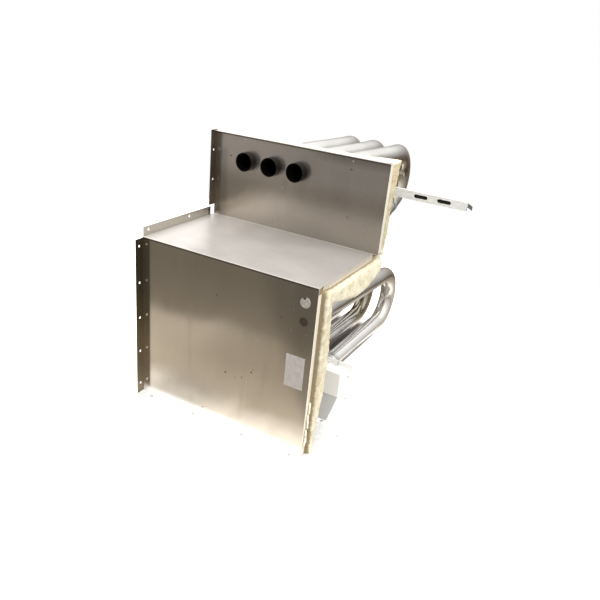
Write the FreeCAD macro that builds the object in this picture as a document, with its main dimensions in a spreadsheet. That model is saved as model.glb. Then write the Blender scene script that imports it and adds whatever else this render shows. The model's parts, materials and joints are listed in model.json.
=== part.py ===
import FreeCAD, Part
import math
import os
from types import SimpleNamespace
import Sketcher
from FreeCAD import Placement, Rotation, Vector

# Furnace heat exchanger. A stepped sheet panel divides the burner side in front from the air side
# behind. Three tubes enter through its upper wall, make four passes in the air stream and end in a
# collector box that stands on the base pan.
# X runs to the right and Y towards the back. Z is up from the underside of the base pan.
# The origin is at the middle of the panel's width, in the plane of its front face.

SIZES = {
    # stepped panel
    "panel_width": 520.0,
    "front_height": 455.0,
    "shelf_depth": 302.0,
    "upper_height": 237.0,
    "panel_sheet": 1.2,
    "bend_inside": 1.5,
    "side_flange": 26.0,
    "shelf_flange": 24.0,
    "bottom_flange": 22.0,
    "top_flange": 11.0,
    "return_flange": 18.0,
    "front_step": 13.0,
    "flange_gap": 3.0,
    "upper_notch": 28.0,
    "shelf_notch": 17.0,
    # screw holes of the side flanges, which the unit is fixed by
    "flange_hole": 3.2,
    "flange_hole_inset": 13.0,
    "front_hole_low": 32.0,
    "front_hole_high": 23.0,
    "shelf_hole_front": 22.0,
    "shelf_hole_pitch": 165.0,
    "shelf_hole_rise": 14.0,
    "upper_hole_low": 102.0,
    "upper_hole_pitch": 83.0,
    # base pan
    "pan_sheet": 1.5,
    "pan_front": 44.0,
    "pan_overhang": 25.0,
    "pan_wing": 38.0,
    "pan_wing_back": 136.0,
    "pan_back_margin": 10.5,
    "pan_tab": 9.0,
    # tubes
    "tube_radius": 25.4,
    "tube_wall": 1.2,
    "tube_pitch": 79.0,
    "inlet_middle": -72.0,
    "inlet_height": 170.0,
    "inlet_stub": 24.0,
    "bank_middle": 64.0,
    "first_pass_height": 200.5,
    "slant_start": 34.5,
    "slant_end": 46.0,
    "slant_bend": 150.0,
    "rear_centre": 652.0,
    "upper_bend": 75.0,
    "second_pass_drop": 76.0,
    "second_pass_bend": 160.0,
    "second_pass_slope": 20.5,
    "front_centre": 147.0,
    "front_bend": 50.0,
    "third_pass_fall": 3.0,
    "lower_bend_lead": 48.5,
    "fourth_pass_height": 76.8,
    "bead_radius": 2.5,
    "hole_clearance": 0.25,
    # insulation
    "blanket": 40.0,
    "blanket_gap": 0.3,
    "blanket_hole_gap": 1.1,
    "pin_radius": 1.3,
    "pin_proud": 2.5,
    "washer_radius": 19.0,
    "washer_sheet": 0.5,
    # collector box
    "box_left_margin": 39.0,
    "box_right_inset": 32.0,
    "box_slant": 59.0,
    "box_sill": 46.0,
    "box_height": 118.0,
    "box_sheet": 1.2,
    "box_flange": 16.0,
    "gasket": 2.0,
    "cover_sheet": 1.5,
    "cover_lip": 14.0,
    "tube_in_box": 12.0,
    # flue outlet
    "flue_radius": 38.0,
    "flue_wall": 1.2,
    "flue_back": 232.0,
    "flue_rise": 6.0,
    "flue_rim": 7.0,
    "flue_front_gap": 8.8,
    "flue_back_gap": 1.8,
    # tube channels and bands
    "channel_height": 26.0,
    "channel_lip": 12.0,
    "channel_sheet": 1.5,
    "channel_left_margin": 60.0,
    "rear_channel_lead": 7.0,
    "rear_channel_overhang": 122.0,
    "rear_channel_tab": 16.0,
    "lower_channel_front": 366.0,
    "lower_channel_right_margin": 33.0,
    "lower_channel_tab": 34.0,
    "channel_tab_angle": 30.0,
    "channel_tab_height": 12.0,
    "slot_inset": 68.5,
    "slot_pitch": 72.0,
    "slot_length": 42.0,
    "slot_radius": 5.5,
    "band_sheet": 1.2,
    "band_width": 12.0,
    "band_ear": 15.0,
    # fasteners
    "screw_radius": 2.1,
    "screw_head": 4.2,
    "screw_head_rise": 2.4,
    "screw_length": 9.0,
    "screw_clearance": 0.15,
    # covers of the two round holes of the front wall
    "round_hole": 11.0,
    "round_hole_inset": 43.0,
    "round_hole_drop": 43.0,
    "round_hole_pitch": 48.0,
    "plug_rim": 2.0,
    "plug_rise": 1.2,
}

doc = FreeCAD.newDocument("heat_exchanger")
sheet = doc.addObject("Spreadsheet::Sheet", "Sizes")
for row, (alias, number) in enumerate(SIZES.items(), start=1):
    sheet.set(f"A{row}", alias.replace("_", " "))
    sheet.set(f"B{row}", str(number))
    sheet.setAlias(f"B{row}", alias)
doc.recompute()


class Size:
    """A number together with the sheet formula that gives it."""

    def __init__(self, value, formula):
        self.value = float(value)
        self.formula = formula

    @staticmethod
    def of(other):
        return other if isinstance(other, Size) else Size(other, repr(float(other)))

    def __add__(self, other):
        other = Size.of(other)
        return Size(self.value + other.value, f"({self.formula} + {other.formula})")

    def __radd__(self, other):
        return Size.of(other) + self

    def __sub__(self, other):
        other = Size.of(other)
        return Size(self.value - other.value, f"({self.formula} - {other.formula})")

    def __rsub__(self, other):
        return Size.of(other) - self

    def __mul__(self, other):
        other = Size.of(other)
        return Size(self.value * other.value, f"({self.formula} * {other.formula})")

    def __rmul__(self, other):
        return Size.of(other) * self

    def __truediv__(self, other):
        other = Size.of(other)
        return Size(self.value / other.value, f"({self.formula} / {other.formula})")

    def __neg__(self):
        return Size(-self.value, f"(0 - {self.formula})")

    def __float__(self):
        return self.value


def tan_of(angle):
    """Tangent of a size that holds degrees."""
    angle = Size.of(angle)
    return Size(math.tan(math.radians(angle.value)), f"tan({angle.formula} * 1 deg)")


def cos_of(angle):
    angle = Size.of(angle)
    return Size(math.cos(math.radians(angle.value)), f"cos({angle.formula} * 1 deg)")


def sin_of(angle):
    angle = Size.of(angle)
    return Size(math.sin(math.radians(angle.value)), f"sin({angle.formula} * 1 deg)")


def diagonal(a, b):
    """Length of the diagonal of a rectangle."""
    return Size(math.hypot(a.value, b.value), f"sqrt({a.formula} * {a.formula} + {b.formula} * {b.formula})")


s = SimpleNamespace(**{name: Size(sheet.get(name), "Sizes." + name) for name in SIZES})

# Levels and planes that several pieces share
panel_bottom = s.pan_sheet
shelf_level = panel_bottom + s.front_height
panel_top = shelf_level + s.upper_height
half_width = s.panel_width / 2
wall_right = half_width - s.front_step
front_back = s.panel_sheet
upper_back = s.shelf_depth + s.panel_sheet
shelf_under = shelf_level - s.panel_sheet
inlet_level = shelf_level + s.inlet_height

# Axes of the three tubes at the panel and behind it, their holes, and the planes of the collector box
inlet_across = [s.inlet_middle + s.tube_pitch * i for i in (-1, 0, 1)]
bank_across = [s.bank_middle + s.tube_pitch * i for i in (-1, 0, 1)]
tube_hole = s.tube_radius + s.hole_clearance
screw_hole = s.screw_radius + s.screw_clearance
collar_outer = s.flue_radius + s.flue_wall
box_left = bank_across[0] - s.box_left_margin
box_right = half_width - s.box_right_inset
box_front = s.flue_back - collar_outer - s.flue_rim - s.flue_front_gap
box_back = s.flue_back + collar_outer + s.flue_rim + s.flue_back_gap
cover_front = box_back + s.gasket
cover_back = cover_front + s.cover_sheet

parts = {}


def bind(item, prop, size):
    """Sets a property and ties it to its formula."""
    size = Size.of(size)
    item.setExpression(prop, size.formula)


def place(item, x, y, z):
    """Ties an object's position to formulas."""
    for axis, size in zip("xyz", (x, y, z)):
        bind(item, "Placement.Base." + axis, size)


def keep(node, item):
    """Names an object as a piece of the finished part."""
    item.Label = node
    parts[node] = item
    return item


def block(name, low, high):
    """A box between two corners."""
    item = doc.addObject("Part::Box", name)
    for prop, a, b in zip(("Length", "Width", "Height"), low, high):
        bind(item, prop, Size.of(b) - a)
    place(item, *low)
    return item


def rod(name, radius, length, base, axis):
    """A cylinder from a point along X, Y or Z."""
    turns = {"x": Rotation(Vector(0, 1, 0), 90), "y": Rotation(Vector(1, 0, 0), -90), "z": Rotation()}
    item = doc.addObject("Part::Cylinder", name)
    item.Placement = Placement(Vector(), turns[axis])
    bind(item, "Radius", radius)
    bind(item, "Height", length)
    place(item, *base)
    return item


def fuse(name, items):
    item = doc.addObject("Part::MultiFuse", name)
    item.Shapes = items
    item.Refine = True
    return item


def cut(name, base, tools):
    tool = tools[0] if len(tools) == 1 else fuse(name + "_tools", tools)
    item = doc.addObject("Part::Cut", name)
    item.Base = base
    item.Tool = tool
    item.Refine = True
    return item


def group(name, items):
    """Separate solids that share one node."""
    item = doc.addObject("Part::Compound", name)
    item.Links = items
    return item


# Sketched pieces

def new_body(name):
    return doc.addObject("PartDesign::Body", name)


def sketch_on(body, name, plane, offset):
    """An empty sketch on one of the body's own planes, moved along the plane's normal."""
    item = body.newObject("Sketcher::SketchObject", name)
    role = next(f for f in body.Origin.OriginFeatures if f.Role == plane)
    item.AttachmentSupport = [(role, "")]
    item.MapMode = "FlatFace"
    bind(item, "AttachmentOffset.Base.z", offset)
    return item


def fix_point(item, geometry, end, point):
    """Ties a point of the sketch to its two coordinates."""
    for kind, size in zip(("DistanceX", "DistanceY"), point):
        size = Size.of(size)
        index = item.addConstraint(Sketcher.Constraint(kind, -1, 1, geometry, end, size.value))
        item.setExpression(f"Constraints[{index}]", size.formula)


def polygon(item, points):
    """A closed outline of straight lines through the points."""
    first = item.GeometryCount
    places = [Vector(float(Size.of(a)), float(Size.of(b)), 0) for a, b in points]
    count = len(places)
    for i in range(count):
        item.addGeometry(Part.LineSegment(places[i], places[(i + 1) % count]), False)
    for i in range(count):
        item.addConstraint(Sketcher.Constraint("Coincident", first + i, 2, first + (i + 1) % count, 1))
        fix_point(item, first + i, 1, points[i])


def circles(item, centres, radius):
    """Round outlines of one radius."""
    radius = Size.of(radius)
    for centre in centres:
        place_at = Vector(float(Size.of(centre[0])), float(Size.of(centre[1])), 0)
        index = item.addGeometry(Part.Circle(place_at, Vector(0, 0, 1), radius.value), False)
        fix_point(item, index, 3, centre)
        number = item.addConstraint(Sketcher.Constraint("Radius", index, radius.value))
        item.setExpression(f"Constraints[{number}]", radius.formula)


def pad(body, name, plane, offset, points, length):
    """Adds an outline's plate, which grows along the plane's normal."""
    outline = sketch_on(body, name + "_outline", plane, offset)
    polygon(outline, points)
    item = body.newObject("PartDesign::Pad", name)
    item.Profile = outline
    bind(item, "Length", length)
    doc.recompute()
    return item


def pocket(body, name, plane, offset, draw, depth):
    """Cuts an outline against the plane's normal."""
    outline = sketch_on(body, name + "_outline", plane, offset)
    draw(outline)
    item = body.newObject("PartDesign::Pocket", name)
    item.Profile = outline
    bind(item, "Length", depth)
    doc.recompute()
    return item


def round_folds(body, name, axis, places, radius):
    """Rounds the edges that run along one axis through the given points of the cross plane."""
    base = body.Tip
    others = [i for i in range(3) if i != axis]
    names = []
    for number, edge in enumerate(base.Shape.Edges, start=1):
        ends = [v.Point for v in edge.Vertexes]
        if len(ends) != 2:
            continue
        along = ends[1] - ends[0]
        if abs(abs(along[axis]) - along.Length) > 1e-6:
            continue
        for a, b in places:
            if abs(ends[0][others[0]] - float(a)) < 1e-4 and abs(ends[0][others[1]] - float(b)) < 1e-4:
                names.append(f"Edge{number}")
    item = body.newObject("PartDesign::Fillet", name)
    item.Base = (base, names)
    bind(item, "Radius", radius)
    doc.recompute()
    return item


# Stepped panel with its flanges

flange_left = -half_width
panel = new_body("panel")
side_view = [
    (-s.bottom_flange, panel_bottom),
    (-s.bottom_flange, panel_bottom + s.panel_sheet),
    (0, panel_bottom + s.panel_sheet),
    (0, shelf_level),
    (s.shelf_depth, shelf_level),
    (s.shelf_depth, panel_top - s.panel_sheet),
    (s.shelf_depth - s.top_flange, panel_top - s.panel_sheet),
    (s.shelf_depth - s.top_flange, panel_top),
    (upper_back, panel_top),
    (upper_back, shelf_under),
    (front_back, shelf_under),
    (front_back, panel_bottom),
]
pad(panel, "folded_sheet", "YZ_Plane", flange_left, side_view, s.panel_width)
inner_folds = [side_view[2], side_view[4], side_view[5], side_view[10]]
outer_folds = [side_view[3], side_view[8], side_view[9], side_view[11]]
round_folds(panel, "inner_folds", 0, inner_folds, s.bend_inside)
round_folds(panel, "outer_folds", 0, outer_folds, s.bend_inside + s.panel_sheet)


def rectangle(a0, b0, a1, b1):
    return [(a0, b0), (a1, b0), (a1, b1), (a0, b1)]


# The front wall and the shelf end short of the upper wall on the right, where their return flange is wider
front_trim = rectangle(-s.bottom_flange - s.panel_sheet, 0,
                       s.shelf_depth - s.flange_gap, shelf_level + s.flange_gap)
pocket(panel, "front_trim", "YZ_Plane", half_width + s.panel_sheet,
       lambda outline: polygon(outline, front_trim), s.front_step + s.panel_sheet)

front_flange = rectangle(-s.side_flange, panel_bottom + s.flange_gap,
                         front_back, shelf_level - s.flange_gap)
shelf_flange = rectangle(s.flange_gap, shelf_under,
                         s.shelf_depth - s.shelf_notch, shelf_level + s.shelf_flange)
upper_flange = rectangle(s.shelf_depth - s.side_flange, shelf_level + s.upper_notch,
                         upper_back, panel_top + s.flange_gap)
for name, outline in (("front", front_flange), ("shelf", shelf_flange), ("upper", upper_flange)):
    pad(panel, name + "_side_flange", "YZ_Plane", flange_left, outline, s.panel_sheet)

front_return = rectangle(0, panel_bottom + s.flange_gap, s.return_flange, shelf_level - s.return_flange)
shelf_return = rectangle(s.return_flange + s.flange_gap, shelf_level - s.return_flange,
                         s.shelf_depth - s.flange_gap, shelf_level)
upper_return = rectangle(s.shelf_depth, shelf_level + s.flange_gap, s.shelf_depth + s.return_flange,
                         panel_top - s.flange_gap)
for name, outline, right in (("front", front_return, wall_right), ("shelf", shelf_return, wall_right),
                             ("upper", upper_return, half_width)):
    pad(panel, name + "_return", "YZ_Plane", right - s.panel_sheet, outline, s.panel_sheet)

front_holes = 5
front_hole_pitch = (s.front_height - s.front_hole_low - s.front_hole_high) / (front_holes - 1)
hole_lines = [(-s.flange_hole_inset, panel_bottom + s.front_hole_low + front_hole_pitch * i)
              for i in range(front_holes)]
for i in range(2):
    hole_lines.append((s.shelf_hole_front + s.shelf_hole_pitch * i, shelf_level + s.shelf_hole_rise))
    hole_lines.append((s.shelf_depth - s.flange_hole_inset,
                       shelf_level + s.upper_hole_low + s.upper_hole_pitch * i))
pocket(panel, "flange_holes", "YZ_Plane", flange_left + s.panel_sheet * 2,
       lambda outline: circles(outline, hole_lines, s.flange_hole), s.panel_sheet * 3)

pocket(panel, "inlet_holes", "XZ_Plane", -(s.shelf_depth - s.panel_sheet),
       lambda outline: circles(outline, [(x, inlet_level) for x in inlet_across], tube_hole),
       s.panel_sheet * 3)

round_hole_across = half_width - s.round_hole_inset
upper_round_hole = shelf_level - s.round_hole_drop
round_holes = [(round_hole_across, upper_round_hole - s.round_hole_pitch * i) for i in range(2)]
pocket(panel, "round_holes", "XZ_Plane", s.panel_sheet,
       lambda outline: circles(outline, round_holes, s.round_hole), s.panel_sheet * 3)

bottom_screws = [(half_width * k, -s.bottom_flange / 2) for k in (-0.85, -0.3, 0.3, 0.85)]
pocket(panel, "bottom_holes", "XY_Plane", panel_bottom + s.panel_sheet * 2,
       lambda outline: circles(outline, bottom_screws, screw_hole), s.panel_sheet * 3)
keep("vestibule_panel", panel)

# Base pan, wider than the panel at its right front corner

pan = new_body("pan")
pan_right = half_width + s.pan_overhang
pan_back = cover_back + s.box_flange + s.pan_back_margin
pan_outline = [
    (-half_width, -s.bottom_flange),
    (half_width - s.pan_wing / 2, -s.bottom_flange),
    (half_width - s.pan_wing / 2, -s.pan_front),
    (pan_right, -s.pan_front),
    (pan_right, s.pan_wing_back),
    (pan_right - s.pan_wing, s.pan_wing_back),
    (pan_right - s.pan_wing, pan_back),
    (-half_width, pan_back),
]
pad(pan, "pan_plate", "XY_Plane", 0, pan_outline, s.pan_sheet)
pad(pan, "pan_corner_tab", "YZ_Plane", pan_right - s.pan_sheet,
    rectangle(s.pan_wing_back - s.pan_tab, 0, s.pan_wing_back, s.pan_tab + s.pan_sheet), s.pan_sheet)
flue_centre = ((box_left + box_right) / 2, s.flue_back)
pocket(pan, "flue_hole", "XY_Plane", s.pan_sheet * 2,
       lambda outline: circles(outline, [flue_centre], s.flue_radius + s.flue_wall + s.hole_clearance),
       s.pan_sheet * 3)
box_flange_screws = [(box_left + (box_right - box_left) * k, box_front - s.box_flange / 2)
                     for k in (0.05, 0.35, 0.65, 0.97)]
pocket(pan, "pan_screw_holes", "XY_Plane", s.pan_sheet * 2,
       lambda outline: circles(outline, bottom_screws + box_flange_screws, screw_hole),
       s.pan_sheet * 3)
keep("base_pan", pan)


# Levels of the tubes' four passes

first_pass = shelf_level + s.first_pass_height
rear_corner = s.rear_centre + s.upper_bend
slope2 = tan_of(s.second_pass_slope)
slope3 = tan_of(s.third_pass_fall)
second_rear = first_pass - s.upper_bend * (1 + tan_of((90 - s.second_pass_slope) / 2))
second_pass = shelf_level - s.second_pass_drop
level_corner = rear_corner - (second_rear - second_pass) / slope2
front_corner = s.front_centre - s.front_bend
third_turn = 1 + tan_of((90 - s.third_pass_fall) / 2)
third_front = second_pass - s.front_bend * third_turn
lower_corner = rear_corner + s.lower_bend_lead
third_rear = third_front - (lower_corner - front_corner) * slope3
fourth_pass = panel_bottom + s.fourth_pass_height
lower_bend = (third_rear - fourth_pass) / third_turn
tube_mouth = s.shelf_depth - s.inlet_stub
tube_end = box_back - s.tube_in_box
slant_from = upper_back + s.blanket_gap + s.blanket + s.slant_start
slant_to = s.rear_centre - s.slant_end


# Tubes

def rounded_wire(corners, radii):
    """Straight runs joined by tangent arcs, one radius for each inner corner."""
    edges = []
    start = corners[0]
    for i in range(1, len(corners) - 1):
        back = (corners[i - 1] - corners[i]).normalize()
        ahead = (corners[i + 1] - corners[i]).normalize()
        turn = math.pi - back.getAngle(ahead)
        reach = radii[i - 1] * math.tan(turn / 2)
        begin = corners[i] + back * reach
        finish = corners[i] + ahead * reach
        bisector = (back + ahead).normalize()
        centre = corners[i] + bisector * math.hypot(reach, radii[i - 1])
        middle = centre - bisector * radii[i - 1]
        if (begin - start).Length > 1e-6:
            edges.append(Part.LineSegment(start, begin).toShape())
        edges.append(Part.Arc(begin, middle, finish).toShape())
        start = finish
    edges.append(Part.LineSegment(start, corners[-1]).toShape())
    return Part.Wire(edges)


def tube_corners(inlet, bank):
    """Corner points of one tube's centreline, from its mouth to the collector box."""
    route = [
        (inlet, tube_mouth, inlet_level),
        (inlet, slant_from, inlet_level),
        (bank, slant_to, first_pass),
        (bank, rear_corner, first_pass),
        (bank, rear_corner, second_rear),
        (bank, level_corner, second_pass),
        (bank, front_corner, second_pass),
        (bank, front_corner, third_front),
        (bank, lower_corner, third_rear),
        (bank, lower_corner, fourth_pass),
        (bank, tube_end, fourth_pass),
    ]
    return [Vector(*(float(size) for size in point)) for point in route]


bend_radii = [s.slant_bend, s.slant_bend, s.upper_bend, s.upper_bend, s.second_pass_bend,
              s.front_bend, s.front_bend, lower_bend, lower_bend]


def swept(name, path, radius, start):
    """A round bar along the path."""
    ring = doc.addObject("Part::Circle", name + "_circle")
    ring.Placement = Placement(start, Rotation(Vector(1, 0, 0), 90))
    bind(ring, "Radius", radius)
    item = doc.addObject("Part::Sweep", name)
    item.Sections = [ring]
    item.Spine = (path, [])
    item.Solid = True
    item.Frenet = False
    return item


def make_tube(node, inlet, bank):
    """One bent tube with the bead that seats it against the back of the panel."""
    corners = tube_corners(inlet, bank)
    path = doc.addObject("Part::Feature", node + "_path")
    path.Shape = rounded_wire(corners, [float(radius) for radius in bend_radii])
    outside = swept(node + "_outside", path, s.tube_radius, corners[0])
    inside = swept(node + "_inside", path, s.tube_radius - s.tube_wall, corners[0])
    bead = doc.addObject("Part::Torus", node + "_bead")
    bead.Placement = Placement(Vector(), Rotation(Vector(1, 0, 0), 90))
    bind(bead, "Radius1", s.tube_radius)
    bind(bead, "Radius2", s.bead_radius)
    place(bead, inlet, upper_back + s.bead_radius, inlet_level)
    beaded = fuse(node + "_beaded", [outside, bead])
    tube = keep(node, cut(node + "_hollow", beaded, [inside]))
    doc.recompute()
    section = math.pi * (s.tube_radius.value ** 2 - (s.tube_radius - s.tube_wall).value ** 2)
    print(f"{node}: length {path.Shape.Length:.1f}, volume {tube.Shape.Volume:.0f},"
          f" section times length {path.Shape.Length * section:.0f}")


for number, (inlet, bank) in enumerate(zip(inlet_across, bank_across), start=1):
    make_tube(f"tube_{number}", inlet, bank)


# Insulation blankets, held by welded pins with press-on washers

blanket_left = -half_width + s.panel_sheet + s.blanket_gap
blanket_right = half_width - s.panel_sheet - s.blanket_gap
front_blanket = block("front_blanket",
                      (blanket_left, front_back + s.blanket_gap, panel_bottom + s.blanket_gap),
                      (blanket_right, front_back + s.blanket_gap + s.blanket, shelf_under - s.bend_inside))
shelf_blanket = block("shelf_blanket",
                      (blanket_left, front_back + s.blanket_gap * 2 + s.blanket,
                       shelf_under - s.blanket_gap - s.blanket),
                      (blanket_right, upper_back + s.blanket_gap + s.blanket, shelf_under - s.blanket_gap))
upper_blanket = block("upper_blanket", (blanket_left, upper_back + s.blanket_gap, shelf_under),
                      (blanket_right, upper_back + s.blanket_gap + s.blanket, panel_top - s.flange_gap))

# The blankets pass behind the return flanges and fill the step beyond them
return_inside = wall_right - s.panel_sheet - s.blanket_gap
shelf_return_space = ((return_inside, 0, shelf_level - s.return_flange - s.blanket_gap),
                      (half_width, s.shelf_depth, shelf_level))
front_return_space = ((return_inside, 0, 0),
                      (half_width, s.return_flange + s.blanket_gap, shelf_level))
return_spaces = {
    "front_insulation": [front_return_space, shelf_return_space],
    "shelf_insulation": [shelf_return_space],
    "upper_insulation": [],
}

pin_length = s.blanket_gap + s.blanket + s.washer_sheet + s.pin_proud
pin_hole = s.pin_radius + s.hole_clearance
front_pins = [(half_width * k, front_back, shelf_level - s.front_height * m)
              for m in (0.28, 0.74) for k in (-0.65, 0.05, 0.7)]
shelf_pins = [(half_width * k, s.shelf_depth * 0.56, shelf_under - pin_length) for k in (-0.65, 0.8)]
upper_pins = [(half_width * k, upper_back, shelf_level + s.upper_height * m)
              for k, m in ((-0.8, 0.3), (0.05, 0.24), (0.8, 0.3), (0.74, 0.8))]


def pin_set(axis, points, tag):
    """Pins, the holes that they need and their washers, for one wall."""
    pins = []
    holes = []
    washers = []
    for i, (x, y, z) in enumerate(points):
        name = f"{tag}_pin_{i}"
        pins.append(rod(name, s.pin_radius, pin_length, (x, y, z), axis))
        holes.append(rod(name + "_hole", pin_hole, pin_length, (x, y, z), axis))
        if axis == "y":
            seat = (x, y + s.blanket_gap + s.blanket, z)
        else:
            seat = (x, y, z + s.pin_proud)
        disc = rod(name + "_disc", s.washer_radius, s.washer_sheet, seat, axis)
        bore = rod(name + "_bore", s.pin_radius + s.screw_clearance, s.washer_sheet, seat, axis)
        washers.append(cut(name + "_washer", disc, [bore]))
    return pins, holes, washers


all_pins = []
all_washers = []
for node, blanket, axis, points in (("front_insulation", front_blanket, "y", front_pins),
                                    ("shelf_insulation", shelf_blanket, "z", shelf_pins),
                                    ("upper_insulation", upper_blanket, "y", upper_pins)):
    pins, holes, washers = pin_set(axis, points, node)
    all_pins += pins
    all_washers += washers
    if node == "upper_insulation":
        wide_hole = s.tube_radius + s.bead_radius + s.blanket_hole_gap
        blanket_face = upper_back + s.blanket_gap
        holes += [rod(f"blanket_hole_{i}", wide_hole, s.blanket, (x, blanket_face, inlet_level), "y")
                  for i, x in enumerate(inlet_across)]
    notches = [block(f"{node}_notch_{i}", low, high) for i, (low, high) in enumerate(return_spaces[node])]
    keep(node, cut(node + "_cut", blanket, holes + notches))
keep("insulation_pins", group("pins", all_pins))
keep("pin_washers", group("washers", all_washers))


# Collector box with its slanted front, open towards the pan and the back

box_top = panel_bottom + s.box_height
wall_shift = s.box_sheet * diagonal(s.box_slant, s.box_sill) / s.box_sill
sill_inside = (s.box_slant + s.box_sheet - wall_shift) * s.box_sill / s.box_slant
box = new_body("box")
pad(box, "box_outside", "YZ_Plane", box_left, [
    (box_front, panel_bottom),
    (box_front + s.box_slant, panel_bottom + s.box_sill),
    (box_front + s.box_slant, box_top),
    (box_back, box_top),
    (box_back, panel_bottom),
], box_right - box_left)
pocket(box, "box_inside", "YZ_Plane", box_right - s.box_sheet, lambda outline: polygon(outline, [
    (box_front + wall_shift, panel_bottom),
    (box_front + s.box_slant + s.box_sheet, panel_bottom + sill_inside),
    (box_front + s.box_slant + s.box_sheet, box_top - s.box_sheet),
    (box_back, box_top - s.box_sheet),
    (box_back, panel_bottom),
]), box_right - box_left - s.box_sheet * 2)
pad(box, "box_front_flange", "YZ_Plane", box_left,
    rectangle(box_front - s.box_flange, panel_bottom,
              box_front + wall_shift / 2, panel_bottom + s.box_sheet),
    box_right - box_left)


def cover_frame(grow):
    """Three-sided frame round the open back of the box, with the lip's width outside it."""
    left = box_left
    right = box_right
    return [
        (left - s.cover_lip, panel_bottom),
        (left + grow, panel_bottom),
        (left + grow, box_top - grow),
        (right - grow, box_top - grow),
        (right - grow, panel_bottom),
        (right + s.cover_lip, panel_bottom),
        (right + s.cover_lip, box_top + s.cover_lip),
        (left - s.cover_lip, box_top + s.cover_lip),
    ]


pad(box, "box_back_flange", "XZ_Plane", -box_back, cover_frame(s.box_sheet), s.box_sheet)
lip_middle = s.cover_lip / 2
cover_screws = [(box_left - lip_middle, panel_bottom + s.box_height * k) for k in (0.2, 0.8)]
cover_screws += [(box_right + lip_middle, panel_bottom + s.box_height * k) for k in (0.2, 0.8)]
cover_screws += [(box_left + (box_right - box_left) * k, box_top + lip_middle) for k in (0.1, 0.5, 0.9)]
pocket(box, "box_cover_holes", "XZ_Plane", -box_back + s.box_sheet * 2,
       lambda outline: circles(outline, cover_screws, screw_hole), s.box_sheet * 3)
pocket(box, "box_flange_holes", "XY_Plane", panel_bottom + s.box_sheet * 2,
       lambda outline: circles(outline, box_flange_screws, screw_hole), s.box_sheet * 3)
keep("collector_box", box)

gasket = new_body("gasket")
pad(gasket, "gasket_frame", "XZ_Plane", -(box_back + s.gasket), cover_frame(0), s.gasket)
pocket(gasket, "gasket_holes", "XZ_Plane", -box_back + s.gasket,
       lambda outline: circles(outline, cover_screws, screw_hole), s.gasket * 3)
keep("collector_gasket", gasket)

cover = new_body("cover")
pad(cover, "cover_plate", "XZ_Plane", -cover_back,
    rectangle(box_left - s.cover_lip, panel_bottom, box_right + s.cover_lip, box_top + s.cover_lip),
    s.cover_sheet)
pad(cover, "cover_foot", "YZ_Plane", box_left,
    rectangle(cover_front, panel_bottom, cover_back + s.box_flange, panel_bottom + s.cover_sheet),
    box_right - box_left)
pocket(cover, "cover_holes", "XZ_Plane", -cover_front + s.cover_sheet,
       lambda outline: circles(outline, cover_screws, screw_hole), s.cover_sheet * 3)
pocket(cover, "cover_tube_holes", "XZ_Plane", -cover_front + s.cover_sheet,
       lambda outline: circles(outline, [(x, fourth_pass) for x in bank_across], tube_hole),
       s.cover_sheet * 3)
keep("collector_back_plate", cover)

# Flue outlet, a collar through the pan

collar_wall = rod("collar_wall", collar_outer, s.pan_sheet + s.flue_rise, (*flue_centre, 0), "z")
collar_rim = rod("collar_rim", collar_outer + s.flue_rim, s.flue_wall, (*flue_centre, s.pan_sheet), "z")
collar_bore = rod("collar_bore", s.flue_radius, s.pan_sheet + s.flue_rise, (*flue_centre, 0), "z")
keep("flue_collar", cut("collar", fuse("collar_solid", [collar_wall, collar_rim]), [collar_bore]))


# Channels that tie the three tubes together, each held by a band round every tube

def slots(outline, middles, height):
    """Oblong outlines along the sketch's first axis."""
    for middle in middles:
        left = middle - s.slot_length / 2 + s.slot_radius
        right = middle + s.slot_length / 2 - s.slot_radius
        low = height - s.slot_radius
        high = height + s.slot_radius
        corners = [Vector(float(a), float(b), 0) for a, b in rectangle(left, low, right, high)]
        reach = Vector(float(s.slot_radius), 0, 0)
        first = outline.GeometryCount
        outline.addGeometry(Part.LineSegment(corners[0], corners[1]), False)
        outline.addGeometry(Part.Arc(corners[1], (corners[1] + corners[2]) / 2 + reach, corners[2]), False)
        outline.addGeometry(Part.LineSegment(corners[2], corners[3]), False)
        outline.addGeometry(Part.Arc(corners[3], (corners[3] + corners[0]) / 2 - reach, corners[0]), False)
        fix_point(outline, first, 1, (left, low))
        fix_point(outline, first, 2, (right, low))
        fix_point(outline, first + 2, 1, (right, high))
        fix_point(outline, first + 2, 2, (left, high))
        for arc, line_before, line_after in ((first + 1, first, first + 2), (first + 3, first + 2, first)):
            outline.addConstraint(Sketcher.Constraint("Coincident", arc, 1, line_before, 2))
            outline.addConstraint(Sketcher.Constraint("Coincident", arc, 2, line_after, 1))
        for arc, centre in ((first + 1, right), (first + 3, left)):
            index = outline.addConstraint(Sketcher.Constraint("DistanceX", -1, 1, arc, 3, centre.value))
            outline.setExpression(f"Constraints[{index}]", centre.formula)


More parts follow.
